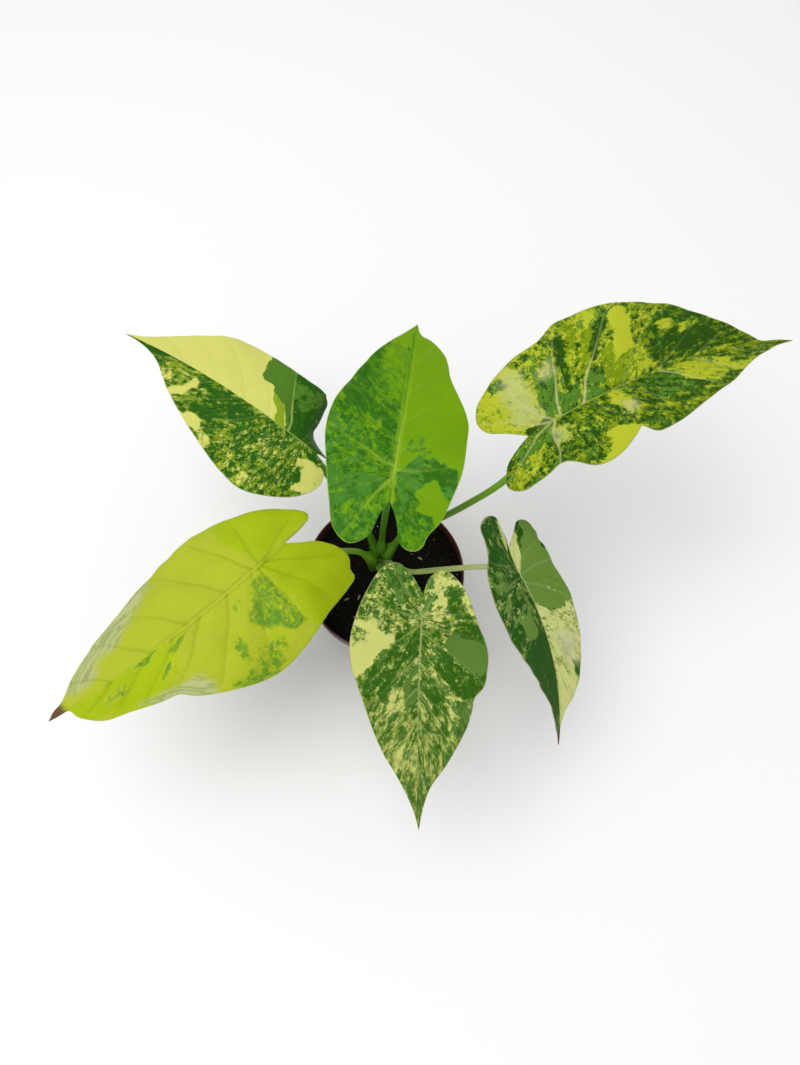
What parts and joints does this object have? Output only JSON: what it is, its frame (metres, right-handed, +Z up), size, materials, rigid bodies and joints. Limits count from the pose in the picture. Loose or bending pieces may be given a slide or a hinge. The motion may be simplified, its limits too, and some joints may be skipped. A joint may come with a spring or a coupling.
{
  "type": "potted alocasia plant",
  "caption": "Young variegated alocasia with broad heart-shaped leaves on long stalks, rooted in soil in a round tapered nursery pot.",
  "frame": {"origin": "centre of the pot's base, on the surface that the pot stands on", "axes": "+Z up; +X to the right and +Y away as seen in front of the pot"},
  "size_m": [0.438, 0.2967, 0.2222],
  "materials": {
    "pot_plastic": "thin reddish-brown plastic, satin",
    "potting_soil": "damp dark potting mix of peat and bark",
    "stem_green": "smooth fleshy plant skin",
    "leaf_back_left": "half cream, half marbled green, satin leaf skin",
    "leaf_back": "half lime, half mottled green, satin leaf skin",
    "leaf_back_right": "marbled cream, lime and dark green, satin leaf skin",
    "leaf_front_left": "lime-yellow with a green mottled wedge, satin leaf skin",
    "leaf_front": "mottled dark green and cream, satin leaf skin",
    "leaf_front_right": "half dark green, half sage and cream, satin leaf skin"
  },
  "bodies": {
    "root": {"pot": "pot_plastic", "soil": "potting_soil", "stem": "stem_green", "leaf_back_left": "leaf_back_left", "leaf_back": "leaf_back", "leaf_back_right": "leaf_back_right", "leaf_front_left": "leaf_front_left", "leaf_front": "leaf_front", "leaf_front_right": "leaf_front_right"}
  },
  "joints": []
}
